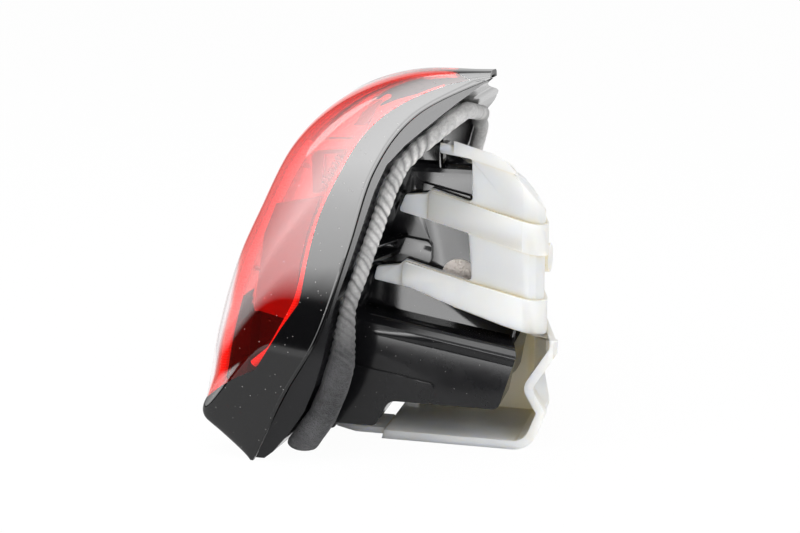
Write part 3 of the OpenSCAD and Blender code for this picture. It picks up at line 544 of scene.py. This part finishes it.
clear_ribbed, tree, shader = new_finish("clear_ribbed")
shader.inputs["Transmission Weight"].default_value = 1.0
shader.inputs["IOR"].default_value = 1.49
flow_here = put_group(tree, flow, Wave_Scale=60.0, Grain_Scale=900.0, Grain_Share=0.2)
nearly_clear = mix_colours(tree, flow_here.outputs["Patches"], (0.95, 0.95, 0.95), (1.0, 1.0, 1.0))
tree.links.new(nearly_clear, shader.inputs["Base Color"])
tree.links.new(ramp(tree, flow_here.outputs["Patches"], 0, 1, 0.05, 0.15), shader.inputs["Roughness"])
rib_place = node(tree, "ShaderNodeTexCoord")
rib_wave = node(tree, "ShaderNodeTexWave", Scale=60.0)
rib_wave.bands_direction = "Y"
tree.links.new(rib_place.outputs["Object"], rib_wave.inputs["Vector"])
raise_bumps(tree, shader, rib_wave.outputs["Fac"], 0.5, 0.0008)
dress(parts["reflector_lens"], clear_ribbed)
lead_black, shader = moulded_finish("lead_black", (200.0, 2000.0, 0.6), (0.018, 0.018, 0.02), (0.03, 0.03, 0.032),
                                    (0.4, 1.2, 0.4, 0.55), (0.2, 0.0001))
dress(parts["jumper_lead"], lead_black)


# Housing. A glossy black moulded back shell: a shallow pan with a flange, the deep body for the driver,
# the lower chamber, ribs and catches.
housing_black, tree, shader = new_finish("housing_black")
shader.inputs["Specular IOR Level"].default_value = 0.3
flow_here = put_group(tree, flow, Wave_Scale=22.0, Grain_Scale=1500.0, Grain_Share=0.1)
specks = put_group(tree, dust, Speck_Size=900.0, Amount=0.25)
scuff_place = node(tree, "ShaderNodeTexCoord")
scuff_noise = node(tree, "ShaderNodeTexNoise", Scale=9.0, Detail=8.0, Roughness=0.65)
tree.links.new(scuff_place.outputs["Object"], scuff_noise.inputs["Vector"])
scuffs = ramp(tree, scuff_noise.outputs["Fac"], 0.5, 0.72)
base = mix_colours(tree, scuffs, (0.0065, 0.0065, 0.0075), (0.011, 0.011, 0.012))
tree.links.new(mix_colours(tree, specks.outputs["Mask"], base, (0.3, 0.29, 0.28)), shader.inputs["Base Color"])
dull_specks = calc(tree, "MULTIPLY", specks.outputs["Mask"], 0.5)
tree.links.new(calc(tree, "ADD", ramp(tree, scuffs, 0, 1, 0.14, 0.2), dull_specks), shader.inputs["Roughness"])
raise_bumps(tree, shader, flow_here.outputs["Height"], 0.1, 0.0006)


def bevelled_copy(name, source, width, sharp=30):
    """A copy of a solid with its faces joined, then bevelled. The clamp leaves next to nothing of the bevel's width, so
    edges stay sharp, but its slivers bend the shading of the faces beside them."""
    mesh = parts[source].data.copy()
    mesh.name = name
    form = bmesh.new()
    form.from_mesh(mesh)
    bmesh.ops.remove_doubles(form, verts=form.verts, dist=0.00002)
    bmesh.ops.dissolve_limit(form, angle_limit=math.radians(1.0), verts=form.verts, edges=form.edges)
    form.to_mesh(mesh)
    form.free()
    piece = bpy.data.objects.new(name, mesh)
    bpy.context.scene.collection.objects.link(piece)
    bevel = piece.modifiers.new("edge_bevel", "BEVEL")
    bevel.width = width
    bevel.segments = 3
    bevel.limit_method = "ANGLE"
    bevel.angle_limit = math.radians(sharp)
    bevel.use_clamp_overlap = True
    mesh.polygons.foreach_set("use_smooth", [True] * len(mesh.polygons))
    bpy.context.view_layer.update()
    baked = bpy.data.meshes.new_from_object(piece.evaluated_get(bpy.context.evaluated_depsgraph_get()))
    piece.modifiers.clear()
    piece.data = baked
    baked.polygons.foreach_set("use_smooth", [True] * len(baked.polygons))
    baked.set_sharp_from_angle(angle=math.radians(34))
    return piece


housing_shell = bevelled_copy("housing_shell", "housing", 0.0006)
dress(housing_shell, housing_black)
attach(housing_shell, "root")
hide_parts("housing")


# Foam gasket. A cord of open foam 9.6 mm thick, laid round the flange and gathered into slanting folds on the curve
# of the flank, where its low end is slack. Its skin is fuzzy, with painted shade below and in its creases,
# and painted light above.
flange_side = [(-75, 0), (-66, 6), (-46, 33), (-34.5, 65), (-27.4, 97), (-18.6, 122), (-7.4, 155), (5.5, 187),
               (28, 209), (47, 225), (60, 235)]
flange_line = [along(flange_side, k / 2) for k in range(2 * (len(flange_side) - 1) + 1)]
foam_inset, foam_thickness, foam_gap = 11.0, 9.6, 0.4
foam_low = foam_thickness / 2 + 5.2


def flange_x(y, z):
    return float(np.interp(z, [p[1] for p in flange_line], [p[0] for p in flange_line])) + rim_lean * (y - near_y)


def rounded_loop(corners, count):
    out = []
    for k, (x, y, r) in enumerate(corners):
        b = np.array([x, y], float)
        a = np.array(corners[k - 1][:2], float)
        c = np.array(corners[(k + 1) % len(corners)][:2], float)
        u, w = (a - b) / np.linalg.norm(a - b), (c - b) / np.linalg.norm(c - b)
        half = math.acos(float(u @ w)) / 2
        middle = b + (u + w) / np.linalg.norm(u + w) * r / math.sin(half)
        s = b + u * r / math.tan(half) - middle
        e = b + w * r / math.tan(half) - middle
        turn = math.copysign(math.pi - 2 * half, s[0] * e[1] - s[1] * e[0])
        for m in range(count + 1):
            t = turn * m / count
            across, up = math.cos(t), math.sin(t)
            out.append(middle + np.array([s[0] * across - s[1] * up, s[0] * up + s[1] * across]))
    return out


foam_corners = rounded_loop([(near_y + foam_inset, foam_low, 10), (far_y - foam_inset, foam_low, 20),
                             (far_y - foam_inset, 176, 26), (40, 198, 60), (near_y + foam_inset + 3, 223, 9)], 10)
foam_lengths = [0.0]
for k, corner in enumerate(foam_corners):
    following = foam_corners[(k + 1) % len(foam_corners)]
    foam_lengths.append(foam_lengths[-1] + float(np.linalg.norm(following - corner)))


def foam_centre(s):
    s = s % foam_lengths[-1]
    k = min(int(np.searchsorted(foam_lengths, s, side="right")) - 1, len(foam_corners) - 1)
    t = (s - foam_lengths[k]) / max(foam_lengths[k + 1] - foam_lengths[k], 1e-6)
    y, z = between(foam_corners[k], foam_corners[(k + 1) % len(foam_corners)], t)
    slope = (flange_x(y, z + 2) - flange_x(y, z - 2)) / 4
    normal = np.array([1, -rim_lean, -slope])
    offset = (foam_thickness / 2 + foam_gap) * normal / np.linalg.norm(normal)
    return np.array([flange_x(y, z) + shift_x, y, z]) + offset


foam_rings, foam_sides = 1600, 44
foam_line = [foam_centre(foam_lengths[-1] * k / foam_rings) for k in range(foam_rings)]
fold_count, fold_margin, fold_unevenness, fold_slant = 160, 8.0, 0.55, 3.6
gather_depth, plain_depth, lump_depth, slack_offset, slack_width = 0.13, 0.008, 0.03, 0.4, 0.8
fold_at = [-fold_margin]
for k in range(fold_count):
    uneven = 1 + fold_unevenness * noise.noise(Vector((k * 1.7, 0.3, 5.1)))
    fold_at.append(fold_at[-1] + (foam_lengths[-1] + 2 * fold_margin) / fold_count * uneven)
fold_depth = [0.55 + 0.9 * abs(noise.noise(Vector((k * 2.3, 4.4, 1.2)))) for k in range(fold_count + 1)]
verts, faces, crease_shades = [], [], []
for k, p in enumerate(foam_line):
    ahead = foam_line[(k + 3) % foam_rings] - foam_line[k - 3]
    ahead /= np.linalg.norm(ahead)
    u = np.cross(ahead, np.array([1.0, 0, 0]))
    u /= np.linalg.norm(u)
    v = np.cross(ahead, u)
    run = foam_lengths[-1] * k / foam_rings
    on_flank = eased((near_y + 30 - p[1]) / 12)
    gathered = on_flank * eased((p[2] - 50) / 30) * eased((222 - p[2]) / 30)
    slack = on_flank * eased((105 - p[2]) / 50)
    v *= math.copysign(1, v[0])
    p = p + slack_offset * slack * foam_thickness * v
    for m in range(foam_sides):
        t = 2 * math.pi * m / foam_sides
        wander = noise.noise(Vector((run / 5, math.cos(t), math.sin(t))))
        lean = run + fold_slant * math.cos(t + 0.7) + 0.9 * wander
        n = int(np.clip(np.searchsorted(fold_at, lean) - 1, 0, fold_count - 1))
        phase = min(max((lean - fold_at[n]) / (fold_at[n + 1] - fold_at[n]), 0), 1)
        sunk = fold_depth[n] if phase < 0.5 else fold_depth[n + 1]
        crease = (1 - math.sin(math.pi * phase)) ** 0.75 * sunk
        lumps = noise.noise(Vector((run / 9, math.cos(t) * 1.1, math.sin(t) * 1.1)))
        r = foam_thickness / 2 * min(1.03, 1 + lump_depth * lumps - (plain_depth + gather_depth * gathered) * crease)
        verts.append((p + r * (math.cos(t) * u + (1 + slack_width * slack) * math.sin(t) * v)) * mm)
        crease_shades.append(min(1, crease * (0.06 + 0.8 * gathered)))
for k in range(foam_rings):
    for m in range(foam_sides):
        a, b, n = k * foam_sides, (k + 1) % foam_rings * foam_sides, (m + 1) % foam_sides
        faces.append((a + m, b + m, b + n, a + n))
foam_cord = finish_mesh("foam_cord", verts, faces, sharp=180)
# The crease depths go to the material, which paints shade in the creases.
foam_cord.data.attributes.new("crease", "FLOAT", "POINT").data.foreach_set("value", crease_shades)

open_foam, tree, shader = new_finish("open_foam")
shader.inputs["Sheen Weight"].default_value = 0.2
shader.inputs["Sheen Roughness"].default_value = 0.6
shader.inputs["Specular IOR Level"].default_value = 0.15
foam_place = node(tree, "ShaderNodeTexCoord")
foam_cells = node(tree, "ShaderNodeTexVoronoi", Scale=1500.0)
foam_fuzz = node(tree, "ShaderNodeTexNoise", Scale=420.0, Detail=6.0, Roughness=0.7)
foam_tone = node(tree, "ShaderNodeTexNoise", Scale=60.0, Detail=3.0)
for texture in (foam_cells, foam_fuzz, foam_tone):
    tree.links.new(foam_place.outputs["Object"], texture.inputs["Vector"])
crease_for_painted_shade = node(tree, "ShaderNodeAttribute", attribute_name="crease")
# Painted shade: the creases turn a flat dark grey.
painted_crease_shade = ramp(tree, crease_for_painted_shade.outputs["Fac"], 0.12, 0.9)
tone = calc(tree, "MULTIPLY", calc(tree, "ADD", foam_fuzz.outputs["Fac"], foam_tone.outputs["Fac"]), 0.5)
# Painted shade on the low part of the cord and painted light on its high part, both over the fuzz's own tone.
foam_painted_shade = mix_colours(tree, ramp(tree, tone, 0.35, 0.65), (0.02, 0.02, 0.022), (0.09, 0.09, 0.095))
foam_painted_light = mix_colours(tree, ramp(tree, tone, 0.35, 0.65), (0.42, 0.42, 0.42), (0.85, 0.84, 0.83))
painted_light_height = node(tree, "ShaderNodeSeparateXYZ")
tree.links.new(foam_place.outputs["Object"], painted_light_height.inputs[0])
foam_with_painted_light = mix_colours(tree, ramp(tree, painted_light_height.outputs[2], 0.07, 0.14), foam_painted_shade, foam_painted_light)
tree.links.new(mix_colours(tree, painted_crease_shade, foam_with_painted_light, (0.11, 0.11, 0.11)), shader.inputs["Base Color"])
tree.links.new(ramp(tree, tone, 0.3, 0.7, 0.82, 0.97), shader.inputs["Roughness"])
cell_walls = calc(tree, "MULTIPLY", foam_cells.outputs["Distance"], 0.5)
raise_bumps(tree, shader, calc(tree, "ADD", foam_fuzz.outputs["Fac"], cell_walls), 0.9, 0.0012)
dress(foam_cord, open_foam)
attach(foam_cord, "root")
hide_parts("foam_gasket")


# Rear cap. A cover of unpigmented plastic pressed over the body, with sprung fingers on both sides.
# It is milky and lets some light through where it is thin. Where it is enclosed it is tan with painted shade.
milky_plastic, tree, shader = new_finish("milky_plastic")
shader.inputs["Subsurface Weight"].default_value = 0.85
shader.inputs["Subsurface Radius"].default_value = (1.0, 0.88, 0.68)
shader.inputs["Subsurface Scale"].default_value = 0.012
shader.inputs["Specular IOR Level"].default_value = 0.12
flow_here = put_group(tree, flow, Wave_Scale=22.0, Grain_Scale=800.0, Grain_Share=0.1)
# Painted shade: enclosed places, found by ambient occlusion, turn tan.
shade = node(tree, "ShaderNodeAmbientOcclusion", only_local=True, samples=8, Distance=0.04)
cloud = mix_colours(tree, flow_here.outputs["Patches"], (0.83, 0.82, 0.785), (0.87, 0.86, 0.83))
painted_shade_openness = ramp(tree, shade.outputs["AO"], 0.25, 0.9)
tree.links.new(mix_colours(tree, painted_shade_openness, (0.8, 0.7, 0.5), cloud), shader.inputs["Base Color"])
tree.links.new(ramp(tree, flow_here.outputs["Patches"], 0, 1, 0.28, 0.36), shader.inputs["Roughness"])
raise_bumps(tree, shader, flow_here.outputs["Height"], 0.2, 0.001)
cap_shell = bevelled_copy("cap_shell", "rear_cap", 0.0009, sharp=28)
dress(cap_shell, milky_plastic)
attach(cap_shell, "root")
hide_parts("rear_cap")


# Breather felt. A thin disc of pale pressed felt stuck over the vent of the body.
# Its fibres lie every way, and its face is pitted, with painted shade in the pits.
pressed_felt, tree, shader = new_finish("pressed_felt")
shader.inputs["Sheen Weight"].default_value = 0.4
shader.inputs["Specular IOR Level"].default_value = 0.1
felt_place = node(tree, "ShaderNodeTexCoord")
felt_fibres = node(tree, "ShaderNodeTexNoise", Scale=900.0, Detail=8.0, Roughness=0.75, Distortion=1.5)
felt_cells = node(tree, "ShaderNodeTexVoronoi", Scale=520.0)
for texture in (felt_fibres, felt_cells):
    tree.links.new(felt_place.outputs["Object"], texture.inputs["Vector"])
pits = ramp(tree, felt_cells.outputs["Distance"], 0.1, 0.5)
# Painted shade: the fibres' own tone is darkened in the pits.
fibre_tone_and_pit_shade = calc(tree, "MULTIPLY", felt_fibres.outputs["Fac"], pits)
tree.links.new(mix_colours(tree, fibre_tone_and_pit_shade, (0.74, 0.66, 0.6), (0.95, 0.9, 0.86)), shader.inputs["Base Color"])
tree.links.new(ramp(tree, felt_fibres.outputs["Fac"], 0.3, 0.7, 0.8, 1.0), shader.inputs["Roughness"])
raise_bumps(tree, shader, calc(tree, "ADD", felt_fibres.outputs["Fac"], pits), 0.8, 0.0006)
dress(parts["vent_felt"], pressed_felt)


# Connector. A dark header for ten pins stands on the inboard half of the flange.
# It is moulded in grained dark plastic, which has taken some dust.
grained_plastic, tree, shader = new_finish("grained_plastic")
flow_here = put_group(tree, flow, Wave_Scale=40.0, Grain_Scale=2600.0, Grain_Share=1.4)
specks = put_group(tree, dust, Speck_Size=350.0, Amount=0.3)
plain = mix_colours(tree, flow_here.outputs["Patches"], (0.05, 0.05, 0.052), (0.07, 0.07, 0.072))
tree.links.new(mix_colours(tree, specks.outputs["Mask"], plain, (0.35, 0.34, 0.33)), shader.inputs["Base Color"])
tree.links.new(ramp(tree, flow_here.outputs["Height"], 0.5, 1.6, 0.4, 0.6), shader.inputs["Roughness"])
raise_bumps(tree, shader, flow_here.outputs["Height"], 0.4, 0.0002)
dress(parts["connector_header"], grained_plastic)


# Table and light. White paper under the lamp, a broad soft lamp above and one each side, and a pale room.
# Bright rings that only gloss shows lie round the front and flank, and were set for the photograph's view.
def seen_rays(tree):
    """1 for what the camera sees, directly, in gloss or through glass, and 0 for what only lights the lamp."""
    seen = node(tree, "ShaderNodeLightPath")
    seen_or_glossy = calc(tree, "MAXIMUM", seen.outputs["Is Camera Ray"], seen.outputs["Is Glossy Ray"])
    return calc(tree, "MAXIMUM", seen_or_glossy, seen.outputs["Is Transmission Ray"])


paper, tree, shader = new_finish("white_paper")
shader.inputs["Base Color"].default_value = (0.86, 0.86, 0.86, 1)
shader.inputs["Roughness"].default_value = 0.9
white = node(tree, "ShaderNodeEmission", Strength=1.0)
blend = node(tree, "ShaderNodeMixShader")
tree.links.new(calc(tree, "MULTIPLY", seen_rays(tree), 0.97), blend.inputs[0])
tree.links.new(shader.outputs[0], blend.inputs[1])
tree.links.new(white.outputs[0], blend.inputs[2])
tree.links.new(blend.outputs[0], tree.nodes["Material Output"].inputs["Surface"])
half_floor = 6
floor_corners = [(half_floor * x, half_floor * y, 0) for x, y in ((-1, -1), (1, -1), (1, 1), (-1, 1))]
floor = finish_mesh("floor", floor_corners, [(0, 1, 2, 3)])
dress(floor, paper)

# Sheets seen only in gloss, as rings past the table's rounded end, [inner radius, outer radius, level at each]: the lit
# edge, the dark gap past it, and the bright sheet beyond, which turns up into a wall.
table_middle = (shift_x * mm - 0.24, near_y * mm + 0.007)
ring_turn, ring_reach, ring_steps = math.radians(-130), math.radians(110), 72
dimmest, dim_turn, full_turn = 0.1, math.radians(-110), math.radians(45)


def gloss_ring(name, inner, outer, inner_level, outer_level, height=0.0, last_turn=ring_reach):
    turns = [between(-ring_reach, last_turn, k / ring_steps) for k in range(ring_steps + 1)]
    circles = ((inner, 0.001), (outer, 0.001 + height))
    points = [(r * math.cos(t), r * math.sin(t), z) for r, z in circles for t in turns]
    wide = len(turns)
    ring = finish_mesh(name, points, [(k, k + 1, wide + k + 1, wide + k) for k in range(ring_steps)])
    ring.location = (*table_middle, 0)
    ring.rotation_euler = (0, 0, ring_turn)
    finish, tree, _ = new_finish(name)
    glow = node(tree, "ShaderNodeEmission")
    place = node(tree, "ShaderNodeTexCoord")
    flat = node(tree, "ShaderNodeVectorMath", operation="MULTIPLY")
    flat.inputs[1].default_value = (1, 1, 0)
    away = node(tree, "ShaderNodeVectorMath", operation="LENGTH")
    split = node(tree, "ShaderNodeSeparateXYZ")
    tree.links.new(place.outputs["Object"], flat.inputs[0])
    tree.links.new(place.outputs["Object"], split.inputs[0])
    tree.links.new(flat.outputs["Vector"], away.inputs[0])
    level = ramp(tree, away.outputs["Value"], inner, outer + 0.001, inner_level, outer_level)
    turn = calc(tree, "ARCTAN2", split.outputs[1], split.outputs[0])
    fading = ramp(tree, turn, dim_turn, full_turn, dimmest, 1.0)
    tree.links.new(calc(tree, "MULTIPLY", level, calc(tree, "MULTIPLY", fading, fading)), glow.inputs["Strength"])
    tree.links.new(glow.outputs[0], tree.nodes["Material Output"].inputs["Surface"])
    dress(ring, finish)
    ring.visible_camera = ring.visible_diffuse = ring.visible_shadow = ring.visible_transmission = False


gloss_ring("table_edge", 0.243, 0.255, 1.6, 1.6)
gloss_ring("dark_gap", 0.255, 0.36, 0.02, 0.02)
gloss_ring("sheet_start", 0.36, 0.452, 0.2, 8.5)
gloss_ring("sheet_near", 0.452, 0.64, 8.5, 11)
gloss_ring("sheet_middle", 0.64, 0.83, 11, 16)
gloss_ring("sheet_far", 0.83, 2.5, 16, 16)
gloss_ring("sheet_wall", 2.5, 2.5, 16, 16, height=6.0, last_turn=math.radians(35))

room = bpy.data.worlds.new("pale_room")
bpy.context.scene.world = room
room.use_nodes = True
tree = room.node_tree
sky = tree.nodes["Background"]
sky.inputs[0].default_value = (1, 1, 1, 1)
tree.links.new(ramp(tree, seen_rays(tree), 0, 1, 0.5, 1.0), sky.inputs["Strength"])


def soft_lamp(name, place, aim, size, power):
    light = bpy.data.lights.new(name, "AREA")
    light.shape = "DISK"
    light.size = size
    light.energy = power
    lamp = bpy.data.objects.new(name, light)
    bpy.context.scene.collection.objects.link(lamp)
    lamp.location = place
    lamp.rotation_euler = (Vector(aim) - Vector(place)).to_track_quat("-Z", "Y").to_euler()


soft_lamp("overhead_lamp", (-0.2, -0.3, 1.5), (0, 0, 0.1), 1.0, 14)
soft_lamp("left_lamp", (-1.3, -0.9, 0.8), (0, 0, 0.12), 0.8, 9)
soft_lamp("right_lamp", (1.2, -0.9, 0.9), (0, 0, 0.12), 0.8, 7)

camera_data = bpy.data.cameras.new("photo_camera")
camera_data.lens = 85
camera_data.sensor_width = 36
camera = bpy.data.objects.new("photo_camera", camera_data)
bpy.context.scene.collection.objects.link(camera)
turn_angle, rise_angle, distance = math.radians(14), math.radians(15), 1.2
look_at = Vector((shift_x * mm - 0.0109525, 0, 0.10027))
level_reach = math.cos(rise_angle)
away = Vector((math.sin(turn_angle) * level_reach, -math.cos(turn_angle) * level_reach, math.sin(rise_angle)))
camera.location = look_at + distance * away
camera.rotation_euler = (-away).to_track_quat("-Z", "Y").to_euler()
bpy.context.scene.camera = camera
bpy.context.scene.view_settings.view_transform = "Standard"
